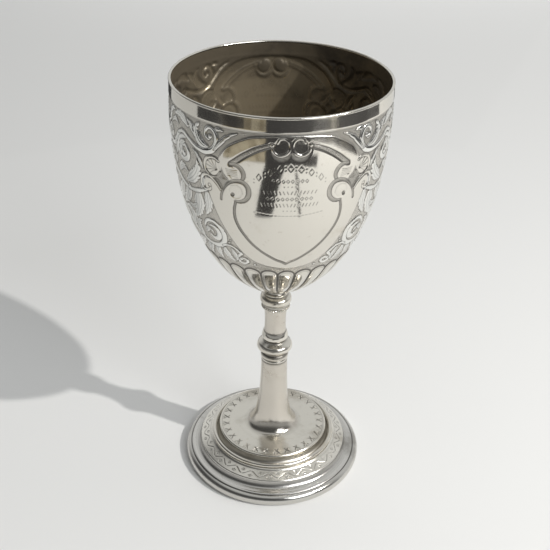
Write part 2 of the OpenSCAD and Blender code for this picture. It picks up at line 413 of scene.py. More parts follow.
class Relief:
    """Heights in millimetres over rows up the wall and columns round it, with marks for their finish, their
    painted shade and old polish, and their painted sheen.
    """

    def __init__(self, angle, arc, radius):
        self.angle, self.arc = angle, arc
        self.scale = radius * math.pi / 180
        self.height = np.zeros((len(arc), len(angle)))
        self.matt = np.zeros_like(self.height)
        self.dark = np.zeros_like(self.height)
        self.clean = np.zeros_like(self.height)

    def window(self, a0, a1, s0, s1, reach):
        rows = slice(np.searchsorted(self.arc, s0 - reach), np.searchsorted(self.arc, s1 + reach))
        k = self.scale[rows].min() if rows.stop > rows.start else 1
        cols = slice(np.searchsorted(self.angle, a0 - reach / k), np.searchsorted(self.angle, a1 + reach / k))
        return rows, cols

    def near(self, path, reach):
        """For the cells round the path: how far off they are, how far along it (0 to 1), on which side."""
        (a0, s0), (a1, s1) = path.min(0), path.max(0)
        win = self.window(a0, a1, s0, s1, reach)
        rows, cols = win
        shape = self.height[win].shape
        off = np.full(shape, 1e9)
        along = np.zeros(shape)
        side = np.zeros(shape)
        k_path = np.interp(path[:, 1], self.arc, self.scale)
        flat = np.stack([path[:, 0] * k_path.mean(), path[:, 1]], 1)
        total = lengths(flat)
        for i in range(len(path) - 1):
            (pa, ps), (qa, qs) = path[i], path[i + 1]
            part = self.window(min(pa, qa), max(pa, qa), min(ps, qs), max(ps, qs), reach)
            lr = slice(part[0].start - rows.start, part[0].stop - rows.start)
            lc = slice(part[1].start - cols.start, part[1].stop - cols.start)
            if off[lr, lc].size == 0:
                continue
            k = self.scale[part[0]][:, None]
            ex, ey = (qa - pa) * k, qs - ps
            px = (self.angle[part[1]][None, :] - pa) * k
            py = self.arc[part[0]][:, None] - ps
            t = unit((px * ex + py * ey) / (ex**2 + ey**2 + 1e-12))
            d = np.hypot(px - t * ex, py - t * ey)
            better = d < off[lr, lc]
            off[lr, lc] = np.where(better, d, off[lr, lc])
            here = (total[i] + t * (total[i + 1] - total[i])) / total[-1]
            along[lr, lc] = np.where(better, here, along[lr, lc])
            side[lr, lc] = np.where(better, np.sign(ex * py - ey * px), side[lr, lc])
        return win, off, along, side

    def paint(self, win, share, height, matt=0.0, dark=0.0):
        """Lays a new height over the old one where share is 1, easing to the old one where it is 0."""
        self.height[win] = self.height[win] * (1 - share) + height * share
        self.matt[win] = self.matt[win] * (1 - share) + matt * share
        self.dark[win] = self.dark[win] * (1 - share) + dark * share

    def raise_up(self, win, off, width, height, dark=0.0):
        """A shape whose edge is at width, with the narrow cut that the chaser leaves round it, darkened with
        painted shade and old polish.
        """
        beside = eased(unit(1 - np.abs(off - width - 0.12) / 0.32))
        self.height[win] -= beside * 0.15
        self.dark[win] = np.maximum(self.dark[win], beside * 0.95)
        self.paint(win, unit((width - off) / SOFT + 0.5), height, dark=dark)

    def ridge(self, points, half, base=GROUND, steps=7):
        """A raised rounded scroll along the points; half lists its half-widths."""
        win, off, along, _ = self.near(smooth(points, steps), max(half) + 1)
        width = profile(along, half)
        across = unit(off / width)
        self.raise_up(win, off, width, base - base * (1 - across**2) ** 0.5)

    def line(self, points, half=0.22, depth=0.12, dark=0.7, steps=7):
        """An engraved line, darkened with painted shade and old polish in its groove."""
        path = smooth(points, steps) if len(points) > 2 else np.array(points, float)
        win, off, _, _ = self.near(path, half + 0.4)
        cut = eased(unit(1 - off / (half + 0.12)))
        self.height[win] -= cut * depth
        self.dark[win] = np.maximum(self.dark[win], cut * dark)

    def leaf(self, points, half, teeth):
        """An acanthus leaf along the points: teeth towards its tip, a midrib and a long vein on each side."""
        win, off, along, side = self.near(smooth(points, 8), max(half) * 1.2 + 1)
        width = profile(along, half)
        phase = along * teeth + np.where(side > 0, 0.0, 0.4)
        tooth = phase - np.floor(phase)
        nearer_tip = unit((along - 0.25) / 0.35)
        width = width * (1.08 - nearer_tip * (0.42 * (1 - tooth) ** 1.5))
        across = unit(off / np.maximum(width, 0.05))
        plump = (1 - across**3) ** 0.5
        vein = unit(1 - np.abs(across - 0.52) / 0.13)
        vein = vein * unit(along * 5) * unit((0.85 - along) * 4)
        rib = unit(1 - off / 0.3) * unit((0.92 - along) * 5)
        height = GROUND - GROUND * plump - 0.12 * rib - 0.09 * vein
        # Painted shade along the grooved midrib and veins
        self.raise_up(win, off, width, height, np.maximum(rib * 0.6, vein * 0.45))

    def ball(self, centre, radius, base=GROUND):
        point = np.array([centre, centre], float)
        point[1, 1] += 1e-3
        win, off, _, _ = self.near(point, radius + 1)
        across = unit(off / radius)
        self.raise_up(win, off, radius, base - base * np.sqrt(1 - across**2))

    def channel(self, points, half):
        """A hollow matt band along the points, with light painted shade over it and dark painted shade along
        both its edges.
        """
        win, off, along, _ = self.near(smooth(points, 7), max(half) + 0.8)
        width = profile(along, half)
        share = unit((width - off) / 0.2 + 0.5)
        hollow = -0.24 * (1 - 0.8 * unit(off / width) ** 2)
        self.paint(win, share, hollow, matt=0.9, dark=0.14)
        edge = np.exp(-(((off - width) / 0.2) ** 2))
        self.height[win] -= edge * 0.08
        self.dark[win] = np.maximum(self.dark[win], edge * 0.85)

    def dot(self, centre, radius):
        """A small engraved dot."""
        self.line([centre, (centre[0], centre[1] + 0.01)], radius, 0.07, 0.75)

    def lozenge(self, centre, wide, tall):
        """A small engraved lozenge; wide is in degrees."""
        a, s = centre
        corners = [(a - wide, s), (a, s + tall), (a + wide, s), (a, s - tall), (a - wide, s)]
        self.line(corners, 0.13, 0.06, 0.75, steps=1)

    def button(self, centre, wide, tall, base=-0.14, rise=0.13, shade=0.0):
        """A shallow dome, or a dish where rise is below 0, on an oval."""
        k = np.interp(centre[1], self.arc, self.scale)
        win = self.window(centre[0] - wide / k, centre[0] + wide / k, centre[1] - tall, centre[1] + tall, 0.4)
        x = (self.angle[win[1]][None, :] - centre[0]) * self.scale[win[0]][:, None] / wide
        y = (self.arc[win[0]][:, None] - centre[1]) / tall
        reach = np.hypot(x, y)
        share = unit((1 - reach) / 0.12)
        self.paint(win, share, base + rise * (1 - unit(reach) ** 2), dark=shade)

    def scroll(self, centre, start_r, end_r, start, turns, half, lead, eye):
        """A spiral about the centre from an angle in degrees, after leading points, with a ball as its eye.
        Turns below 0 run clockwise."""
        k = np.interp(centre[1], self.arc, self.scale)
        count = max(6, int(abs(turns) * 12))
        points = list(lead)
        for i in range(count + 1):
            t = i / count
            radius = start_r * (end_r / start_r) ** t
            angle = math.radians(start + 360 * turns * t)
            points.append((centre[0] + radius * math.cos(angle) / k, centre[1] + radius * math.sin(angle)))
        self.ridge(points, half, steps=4)
        self.ball(points[-1], eye)

    def inside(self, outline):
        """Which cells lie in the closed outline."""
        a, s = self.angle[None, :], self.arc[:, None]
        found = np.zeros(self.height.shape, bool)
        for (pa, ps), (qa, qs) in zip(outline, np.roll(outline, -1, 0)):
            if ps == qs:
                continue
            crosses = (ps > s) != (qs > s)
            found ^= crosses & (a < (qa - pa) * (s - ps) / (qs - ps) + pa)
        return found

    def star(self, centre, wide, tall):
        """A sunken four-pointed star with hollow sides, and a low pyramid in it, with painted shade over it
        and darker along its edge.
        """
        k = np.interp(centre[1], self.arc, self.scale)
        win = self.window(centre[0] - wide / k, centre[0] + wide / k, centre[1] - tall, centre[1] + tall, 0.6)
        x = np.abs((self.angle[win[1]][None, :] - centre[0]) * self.scale[win[0]][:, None]) / wide
        y = np.abs(self.arc[win[0]][:, None] - centre[1]) / tall
        reach = x ** (2 / 3) + y ** (2 / 3)
        share = unit((1.0 - reach) / 0.12 + 0.5)
        edge = unit(1 - np.abs(reach - 1.04) / 0.14)
        self.paint(win, share, -0.42 + 0.34 * unit(1 - reach * 1.25), matt=0.3, dark=0.5)
        self.dark[win] = np.maximum(self.dark[win], edge * 0.8)


def blur(field, cells, wrap=False):
    """The field softened over so many cells each way; wrap joins its last column to its first."""
    kernel = np.exp(-((np.arange(-3 * cells, 3 * cells + 1) / cells) ** 2) / 2)
    kernel /= kernel.sum()
    pad = 3 * cells
    out = np.pad(field, ((pad, pad), (0, 0)), mode="edge")
    out = sum(kernel[i] * out[i : i + field.shape[0]] for i in range(len(kernel)))
    out = np.pad(out, ((0, 0), (pad, pad)), mode="wrap" if wrap else "reflect")
    return sum(kernel[i] * out[:, i : i + field.shape[1]] for i in range(len(kernel)))


SHIELD_TOP = [(0, 107.6), (8, 107.5), (15.3, 107.0), (20.5, 106.2), (26.7, 103.8), (31.8, 100.9),
              (35.7, 96.6), (37.2, 93.4)]
SHIELD_SIDE = [(44.3, 79.4), (42, 74.1), (40.3, 70.3), (36.3, 63.1), (32.3, 57.4), (29.5, 53.9), (26.1, 50.7),
               (20.4, 47.2), (13.6, 44.9), (6, 43.7), (0, 43.4)]
PANEL_LOW = [(27.4, 78.4), (28.5, 75.1), (28.7, 71.7), (28.1, 68.9), (26.7, 66), (24.7, 63.1), (22.1, 60),
             (19.3, 57.4), (15.9, 54.9), (12.5, 52.8), (6.8, 49.8), (2.3, 48.1), (0, 46.9)]
PANEL_TOP = [(29.3, 94.3), (27.2, 95.7), (23.8, 98), (20.4, 99.9), (16.5, 101.7), (12.5, 103), (8.8, 103.9)]

# Rows of fine engraving in the panel: distance up the wall, half-width and pitch in degrees, and kind
ENGRAVED_ROWS = [
    (89.3, 7.5, 2.3, "lozenge"),
    (86.9, 3.0, 2.0, "dot"),
    (84.2, 12.5, 2.0, "stroke"),
    (81.4, 11.0, 2.4, "lozenge"),
    (78.6, 14.5, 1.9, "stroke"),
    (76, 3.6, 2.0, "dot"),
]


def chase(relief):
    """The ornament of a quarter of the bowl, from a shield's middle (angle 0) to a side's (angle 90)."""
    band = in_band(relief.arc)
    relief.height[:] = np.where(band, GROUND, 0)
    relief.matt[:] = np.where(band, 1.0, 0)

    # Foliage beside the shield, from the back layer to the front one
    for points, half, teeth in (
        ([(57, 104), (60.5, 105.8), (65, 106.6), (70, 105.5)], [0.8, 1.9, 1.5, 0.3], 5),
        ([(51, 101.5), (53.5, 104.5), (57.5, 106.6)], [0.9, 1.7, 0.3], 4),
        ([(84, 99), (79, 102.5), (75, 106), (70, 107)], [0.9, 2.0, 1.4, 0.3], 5),
        ([(88.5, 92), (86.5, 97), (87, 102), (89.5, 106.6)], [1.2, 2.5, 2.0, 0.3], 6),
        ([(69, 76), (73, 71), (79, 68), (85, 69)], [1.1, 2.8, 2.3, 0.3], 6),
        ([(52, 77), (53, 72), (55.5, 67), (60, 62.5)], [1.2, 3.2, 2.7, 0.3], 7),
        ([(60, 77), (63, 73), (66.5, 69.5), (71, 66)], [0.8, 2.3, 2.0, 0.3], 6),
        ([(45.4, 79), (45.2, 75), (46, 71), (48.4, 67)], [0.8, 2.3, 2.0, 0.3], 6),
        ([(61, 79.5), (57, 81.5), (53, 84.5), (50.5, 88), (50.6, 91.6)], [0.9, 2.3, 2.7, 2.0, 0.3], 7),
        ([(69, 82), (66, 84.6), (63, 84.8), (59.5, 83.6)], [0.8, 1.6, 1.3, 0.3], 5),
        ([(66, 57), (63, 61.5), (66, 65), (70.5, 64.5)], [0.9, 2.2, 1.8, 0.3], 5),
        ([(58, 53), (60, 57), (58.5, 60.5), (55, 62)], [0.9, 1.8, 1.5, 0.3], 5),
        ([(72, 50.5), (77, 52.5), (82, 51), (85.5, 47)], [1.0, 2.3, 1.9, 0.3], 6),
        ([(60, 50.5), (63.5, 48.8), (66.5, 46.5), (67.5, 43.8)], [0.9, 2.0, 1.7, 0.3], 5),
        ([(52, 50), (54.5, 48.5), (56, 46.3), (55, 43.8)], [0.8, 1.8, 1.5, 0.3], 4),
        ([(45.5, 50.6), (47, 48.4), (47, 45.8), (45, 43.8)], [0.8, 1.8, 1.5, 0.3], 4),
        ([(40.3, 51.2), (40, 48.6), (38, 46), (34.6, 44.2)], [0.8, 1.8, 1.5, 0.3], 5),
        ([(90, 44), (90, 51), (90, 58), (90, 66)], [1.4, 3.0, 2.3, 0.3], 7),
        ([(90, 72), (90, 77), (90, 82), (90, 88)], [0.9, 2.3, 1.9, 0.3], 6),
    ):
        relief.leaf(points, half, teeth)

    # Stems and spirals
    relief.scroll((81, 86.2), 5.0, 1.5, -105, 1.25, [0.8, 1.2, 1.0, 0.6],
                  lead=[(60.5, 75.9), (65.5, 76.6), (70.5, 78), (75.5, 79.8)], eye=1.2)
    relief.ridge([(44.2, 80), (47.5, 78.7), (50.5, 77.7), (55.5, 76.4), (60.5, 75.9)], [0.5, 0.9, 0.8])
    relief.scroll((79, 60), 6.0, 1.7, 178, -1.2, [0.8, 1.2, 1.0, 0.6],
                  lead=[(59, 53.4), (63, 54.2), (66.5, 56), (68.8, 58)], eye=1.3)
    relief.scroll((61.3, 92.4), 5.4, 1.7, 60, -1.35, [0.7, 1.2, 1.1, 0.6], lead=[(57.5, 99.3)], eye=1.3)
    relief.leaf([(60.5, 96.4), (63.5, 95), (65, 92.4), (64.4, 89.8)], [0.4, 1.2, 1.0, 0.3], 4)
    relief.scroll((77, 96), 5.0, 1.5, -150, 1.25, [0.7, 1.2, 1.0, 0.6],
                  lead=[(62, 100.6), (66, 98.6), (69, 95.6)], eye=1.2)
    relief.leaf([(43, 98.6), (46.7, 99.6), (49.4, 102), (50, 105), (48, 107.2)], [0.9, 1.9, 2.1, 1.5, 0.3], 6)
    relief.leaf([(38.3, 106), (36.3, 107), (33.5, 106.6)], [0.6, 0.9, 0.3], 3)
    relief.ridge([(66, 99), (60.5, 100.2), (55.5, 98.4), (50.5, 96.9), (45.5, 96.4), (41.4, 97.2),
                  (38.7, 98.9), (37.3, 101.4), (37.4, 104.2), (39.3, 106.3), (41.8, 106.7), (43.7, 105.3),
                  (43.7, 103.2), (42.1, 102.2), (40.9, 103)], [0.6, 0.8, 1.0, 1.2, 1.25, 1.1, 0.9, 0.7, 0.6])
    relief.ball((40.9, 103.3), 0.9)
    relief.ridge([(52.6, 60.4), (50.9, 62.7), (48.2, 64.2), (44.3, 64.6), (40.9, 63.2), (38.6, 61.1),
                  (38.1, 58.6), (38.9, 55.8), (40.9, 53.3), (43.9, 51.8), (47.9, 51), (52.2, 50.8),
                  (56, 51.8), (60, 54)], [0.4, 0.8, 1.0, 1.2, 1.3, 1.2, 1.0, 0.8, 0.6])
    relief.ridge([(47.8, 61.6), (44.8, 61.8), (42.3, 60.4), (42, 57.8), (43.8, 55.6), (46.8, 55.2),
                  (49.2, 56.8)], [0.5, 1.0, 1.3, 1.3, 1.0, 0.4])
    relief.leaf([(52.5, 57), (50, 59.5), (47.5, 59.2), (46, 58)], [0.4, 1.1, 0.8, 0.3], 3)
    relief.scroll((27.6, 46.4), 3.0, 1.1, 60, -1.1, [0.55, 0.75, 0.6],
                  lead=[(40.5, 52.6), (37.4, 53.7), (34, 53.7), (31, 52.4), (28.6, 50.4)], eye=0.8)
    relief.leaf([(34.6, 51.8), (33.6, 49.4), (32.8, 47), (33.2, 44.6)], [0.5, 1.1, 0.9, 0.3], 3)
    relief.ball((20.3, 44.6), 0.55)

    # Small leaves over the stems
    for points, half, teeth in (
        ([(38.2, 98.4), (34.6, 102.2), (30.6, 105.1), (26, 106.8)], [0.3, 0.95, 0.85, 0.2], 4),
        ([(46.8, 88.8), (48.2, 91.6), (50.4, 94), (53.4, 95.2)], [0.3, 1.1, 1.0, 0.2], 4),
        ([(71, 88.5), (69.4, 91.2), (69.8, 93.6), (71.6, 95.4)], [0.4, 1.2, 1.0, 0.2], 4),
        ([(55.5, 70), (58.5, 67.8), (62.4, 67.4), (65.5, 68.6)], [0.3, 1.1, 0.9, 0.2], 4),
        ([(84, 66.6), (86, 69.4), (88.6, 70.6), (91, 70.2)], [0.4, 1.3, 1.2, 0.5], 4),
        ([(89.8, 72.6), (86.6, 74.4), (83.6, 76), (80.4, 75.8)], [0.5, 1.4, 1.1, 0.2], 5),
        ([(66, 102.2), (69, 103.3), (72, 102.6), (74.4, 100.8)], [0.3, 1.0, 0.8, 0.2], 4),
        ([(74.5, 89), (73.4, 86.6), (73.6, 84.4), (75.2, 82.4)], [0.3, 1.0, 0.9, 0.2], 4),
        ([(49.4, 79.4), (47.4, 81.6), (46.8, 84), (47.6, 86.4)], [0.3, 0.9, 0.8, 0.2], 4),
    ):
        relief.leaf(points, half, teeth)
    relief.ball((35.4, 55.5), 0.5)
    relief.ball((34.2, 57), 0.4)

    # The shield: a plain border round a plain panel
    outline = np.vstack([smooth(SHIELD_TOP, 6),
                         [(34.5, 90.2), (31, 87.6), (33.4, 84.6), (35.6, 81.6), (38, 84.2), (41.4, 86.2),
                          (45, 85.6), (46.4, 83), (45.6, 80.6)], smooth(SHIELD_SIDE, 6)])
    field = relief.inside(np.vstack([outline, [(-1, outline[-1, 1]), (-1, outline[0, 1])]]))
    soft = blur(field.astype(float), 1)
    whole = (slice(None), slice(None))
    relief.paint(whole, soft, 0.0)
    # Painted sheen on the raised chasing round the shield, over the polish it keeps
    relief.clean[:] = np.where(band, (1 - soft) * (1 - unit(relief.matt)), 0)
    for edge, shade in ((SHIELD_TOP, 0.55), (SHIELD_SIDE, 0.75)):
        relief.line(edge, 0.34, 0.18, shade)
    relief.line([(0, 108.5), (90, 108.5)], 0.2, 0.1, 0.5)
    relief.line([(0, 42.2), (90, 42.2)], 0.25, 0.1, 0.4)

    # Curls and the star between them
    shell_ring = [(36.2, 94.2), (38.4, 95.1), (41.2, 94.9), (43.8, 93.7), (45.1, 91.4), (44.6, 89),
                  (42.5, 87.3), (39.7, 86.7), (37.2, 87.6), (35.4, 89.6)]
    fan = relief.inside(smooth(shell_ring, 4))
    relief.paint(whole, blur(fan.astype(float), 1), -0.16)
    root = (37.4, 90.4)
    for tip in ((37.5, 95.2), (40.6, 95), (43.3, 93.8), (44.8, 91.6), (44.2, 89.2), (42.2, 87.6)):
        middle = ((root[0] + tip[0]) / 2 + 0.5, (root[1] + tip[1]) / 2)
        relief.line([root, middle, tip], 0.16, 0.14, 0.6, steps=4)
    relief.ridge(shell_ring, [0.4, 0.6, 0.6, 0.5, 0.35], base=-0.3)
    relief.ridge([(35.8, 81.9), (38, 84.4), (40.8, 86.1), (43.7, 86.8), (46.4, 86.1), (48.2, 84.2),
                  (48.5, 81.9), (47, 80.2), (44.6, 79.9), (42.4, 80.8), (42.6, 82.3)],
                 [0.3, 0.5, 0.6, 0.6, 0.5, 0.4], base=-0.25)
    relief.ball((42.8, 82.4), 0.6, base=-0.2)

    # The panel's double line
    for edge, apart in ((PANEL_LOW, [0.36]), (PANEL_TOP, [1.0, 0.95, 0.8, 0.6])):
        path = smooth(edge, 7)
        win, off, along, _ = relief.near(path, 1.8)
        half = profile(along, apart)
        between = unit((half - off) / 0.2 + 0.3)
        cut = np.exp(-(((off - half) / 0.25) ** 2))
        relief.height[win] += -cut * 0.2 - between * 0.05
        # Painted shade in the two cuts, and between them where they run close together
        relief.dark[win] = np.maximum(relief.dark[win], np.maximum(cut, between * (half < 0.5) * 0.6))
        relief.matt[win] = np.maximum(relief.matt[win], between * (half > 0.62))

    # Its volutes: one above and one below the star, and a pair at the top
    relief.button((27.6, 90.6), 2.6, 2.9)
    for lean in (0, 0.25, 0.5, 0.75, 1):
        start, end = (26.4 - 0.6 * lean, 92.2 - 3.2 * lean), (32.2 - 1.0 * lean, 92 - 2.6 * lean)
        relief.line([start, (29.4, 91.8 - 2.4 * lean), end], 0.16, 0.1, 0.5, steps=4)
    relief.channel([(29.6, 94.2), (26.4, 94.2), (24, 92.9), (22.8, 90.8), (23.3, 88.7), (25.2, 87.5)],
                   [0.55, 0.8, 0.85, 0.8, 0.6, 0.3])
    relief.button((27.4, 82.6), 3.0, 3.2)
    relief.line([(23.6, 82), (24.4, 84.6), (27.2, 85.6), (30, 84.8)], 0.14, 0.08, 0.4)
    relief.channel([(27.6, 78.4), (25.4, 78.4), (22.9, 79.2), (21, 80.9), (20.3, 83.1), (20.8, 85.3),
                    (22.5, 87), (25, 87.6), (28, 87.2), (30.8, 85.9), (33.3, 83.7), (34.9, 81.4),
                    (35.7, 79.4), (36, 77.6)], [0.4, 0.75, 0.85, 0.85, 0.75, 0.6, 0.45, 0.4, 0.4])
    relief.button((29, 81.2), 0.85, 0.85, base=-0.35, rise=0.1, shade=0.75)
    relief.button((4.6, 102.8), 3.3, 3.4, base=-0.16, rise=-0.2, shade=0.3)
    relief.channel([(8.9, 100.7), (7.3, 99.2), (4.8, 98.4), (2.3, 98.8), (0.4, 100.2)],
                   [0.3, 0.8, 1.0, 0.9, 0.4])
    relief.ridge([(8.9, 103.7), (8.8, 101.7), (7.1, 100.2), (4.7, 99.7), (2.2, 100.5), (0.7, 102.5),
                  (0.9, 104.9), (2.9, 106.4), (5.4, 106.1), (6.5, 104.6)],
                 [0.35, 0.5, 0.55, 0.55, 0.5, 0.45, 0.35], base=-0.2)
    relief.ball((9.2, 103.9), 0.85, base=-0.25)
    relief.star((34.4, 86.6), 3.6, 5.0)

    # Plain engraving in the panel, in place of an inscription: rows of lozenges, dots and strokes
    for k in range(8):
        a = 2.5 * k
        s = 94.9 - 0.02 * a * a
        if k % 2:
            relief.dot((a, s + 0.75), 0.3)
            relief.dot((a, s - 0.75), 0.3)
        else:
            relief.lozenge((a, s), 1.25, 1.5)
    for s, wide, pitch, kind in ENGRAVED_ROWS:
        for k in range(int(wide / pitch) + 1):
            a = pitch * (k + 0.5)
            if kind == "lozenge":
                relief.lozenge((a, s), 0.34 * pitch, 0.7)
            elif kind == "dot":
                relief.dot((a, s), 0.28)
            else:
                relief.line([(a - 0.35, s - 0.65), (a + 0.35, s + 0.65)], 0.17, 0.06, 0.75)
    for k in range(9):
        a = 1 + 2 * k
        s = 73.6 + 0.004 * a * a
        relief.line([(a - 0.6, s), (a + 0.6, s)], 0.12, 0.06, 0.7)


def gadroons(height, matt, dark, angle, arc, radius):
    """The lobed band round the base of the bowl."""
    pitch = 360 / LOBES
    x = (angle - LOBE_TURN + pitch / 2) % pitch - pitch / 2
    k = radius * math.pi / 180
    half = (pitch / 2 * k)[:, None]
    x = np.abs(x[None, :] * k[:, None])
    crown = np.interp(LOBES_TOP, arc, half[:, 0])
    rise = np.clip(arc[:, None] - (LOBES_TOP - crown), 0, None)
    reach = np.hypot(x, rise) / (half - 0.15)
    band = arc[:, None] < LOBES_TOP + 0.9
    dome = np.sqrt(unit(1 - unit(reach) ** 2))
    lobe = -0.62 + 0.85 * dome**0.8
    between = np.where(rise > 0, -0.45, -0.62)
    raised = np.where(reach < 1, lobe, between)
    fade = unit((arc[:, None] - 3.5) / 6)
    height[:] = np.where(band, raised * fade, height)
    # Painted shade in the outline round each lobe and along a ring inside it
    edge = np.exp(-(((reach - 0.985) / 0.125) ** 4)) * fade
    inner = np.exp(-(((reach - 0.7) / 0.05) ** 2)) * fade
    height -= np.where(band, inner * 0.07, 0)
    dark[:] = np.where(band, np.maximum(edge * 0.95, inner * 0.5), dark)
    matt[:] = np.where(band, np.where((reach > 1.05) & (rise > 0), 0.8, 0.0), matt)


def hammer_marks(rows, cols):
    """A faint unevenness over the sheet, from -1 to 1, drawn on every eighth cell and spread between."""
    rng = np.random.default_rng(7)
    ripple = blur(rng.normal(size=(rows // 8 + 2, cols // 8)), 2, wrap=True)
    ripple /= np.abs(ripple).max()
    rows_at = np.linspace(0, ripple.shape[0] - 1, rows)
    cols_at = np.arange(cols) / 8
    low = np.floor(rows_at).astype(int).clip(0, ripple.shape[0] - 2)
    left = np.floor(cols_at).astype(int) % ripple.shape[1]
    right = (left + 1) % ripple.shape[1]
    fr, fc = (rows_at - low)[:, None], (cols_at - np.floor(cols_at))[None, :]
    return (ripple[low][:, left] * (1 - fr) * (1 - fc) + ripple[low + 1][:, left] * fr * (1 - fc)
            + ripple[low][:, right] * (1 - fr) * fc + ripple[low + 1][:, right] * fr * fc)


def make_bowl(material, inner_material):
    cols = 1440
    wall = smooth([(p * RIM_R, BOWL_Z + q * BOWL_H) for p, q in BOWL_SHAPE], 24)
    wall = resample(wall, 0.22)
    arc = lengths(wall)
    arc += ARC_TOP - arc[-1]
    normal = sideways(wall)
    quarter = Relief(np.linspace(0, 90, cols // 4 + 1), arc, wall[:, 0])
    chase(quarter)
    fields = []
    for part in (quarter.height, quarter.matt, quarter.dark, quarter.clean):
        half = np.hstack([part, part[:, -2:0:-1]])
        fields.append(np.hstack([half, half]))
    height, matt, dark, clean = fields
    gadroons(height, matt, dark, np.arange(cols) * 360 / cols, arc, wall[:, 0])
    outer_height = blur(height, 1, wrap=True) * 0.6 + height * 0.4
    outer_height = outer_height + hammer_marks(len(arc), cols) * 0.03 - 0.05
    # Painted shade in the hollows of the relief
    hollow_shade = unit((blur(height, 3, wrap=True) - height) / 0.22)
    dark = np.maximum(dark, 0.5 * hollow_shade)
    outer = spin(wall, cols, outer_height, normal)
    outside = shell("bowl_outside", np.concatenate([outer[:1] * [0.2, 0.2, 1], outer]), marks={
        "matt": np.vstack([matt[:1], blur(matt, 1, wrap=True)]),
        "dark": np.vstack([dark[:1], dark]),
        "clean": np.vstack([clean[:1], clean]),
    })
    put(outside, material, "bowl")

    # The inner wall shows the chasing from behind, half as fine and deeper, so that it can be seen
    pushed = blur(height - np.where(in_band(arc), GROUND, 0), 2, wrap=True)[::2, ::2]
    inner = spin(wall[::2], cols // 2, pushed * 2.4 - WALL, normal[::2])
    floor_z = inner[0, :, 2].mean()
    bottom = [np.concatenate([inner[:1, :, :2] * f, np.full((1, inner.shape[1], 1), floor_z)], -1)
              for f in (0.05, 0.35, 0.7)]
    # The inner wall's dark mark: the outside's lines of old polish and shade, painted shade in its hollows,
    # and painted shade near the rim
    lines = blur(dark, 1, wrap=True)[::2, ::2] * 0.45
    rim_shade = unit((arc[::2, None] - 98) / 12) * 0.4
    painted_shade = np.clip(lines + np.clip(0.3 - pushed, 0, 0.3) + rim_shade, 0, 0.6)
    painted_shade = np.vstack([np.zeros((len(bottom), painted_shade.shape[1])), painted_shade])
    inside_marks = {"matt": NONE, "dark": painted_shade[::-1]}
    hollow = shell("bowl_inside", np.concatenate([*bottom, inner])[::-1], marks=inside_marks)
    put(hollow, inner_material)


# ---- Turned pieces --------------------------------------------------------

NONE = np.zeros((1, 1))  # a mark that is 0 everywhere
SHEET = 1.0
PLAY = 0.05
ROD_R = 2.5
BARREL_BORE = 4.2
DISC_HOLE_R = 4.0
FALL = 0.0465  # the foot's disc falls this much for each millimetre outwards
FOOT_R = half_width("foot_rim")
SKIRT_R = FOOT_R - 4.4
Z_SHELF = highest("foot_flange")
Z_DISC = highest("foot_dome") + FALL * DISC_HOLE_R  # where the disc would reach on the axis
Z_TRUMPET = lowest("trumpet_stem")
Z_LOWER = highest("trumpet_stem")
Z_MAIN = lowest("knop_main_ring")
Z_TOP = highest("knop_main_ring")
Z_BARREL = lowest("stem_barrel")
Z_BEADS = highest("stem_barrel")
Z_KNOP = highest("bead_ring")
Z_COLLAR = lowest("bowl_collar")


def turned(name, section, material, node, cols=240, ease=0.14, edge_shade=(0.6, 0.6), edge_shade_reach=(0.28, 0.28)):
    """A lathe-turned piece from its closed section, up the outside and down the bore.
    Its bottom and top edges, where it meets the next piece, get painted shade: the last two arguments give
    how dark it is and how far it reaches."""
    section = rounded(section, ease)
    z = section[:, 1]
    bottom = edge_shade[0] * np.exp(-(((z - z.min()) / edge_shade_reach[0]) ** 2))
    top = edge_shade[1] * np.exp(-(((z.max() - z) / edge_shade_reach[1]) ** 2))
    dark = np.maximum(crevice_shade(section), bottom + top)[:, None]
    put(shell(name, spin(section, cols), loop=True, marks={"dark": dark, "matt": NONE}), material, node)


def lifted(points, z):
    """The points (radius, height) raised by z."""
    return [(r, h + z) for r, h in points]


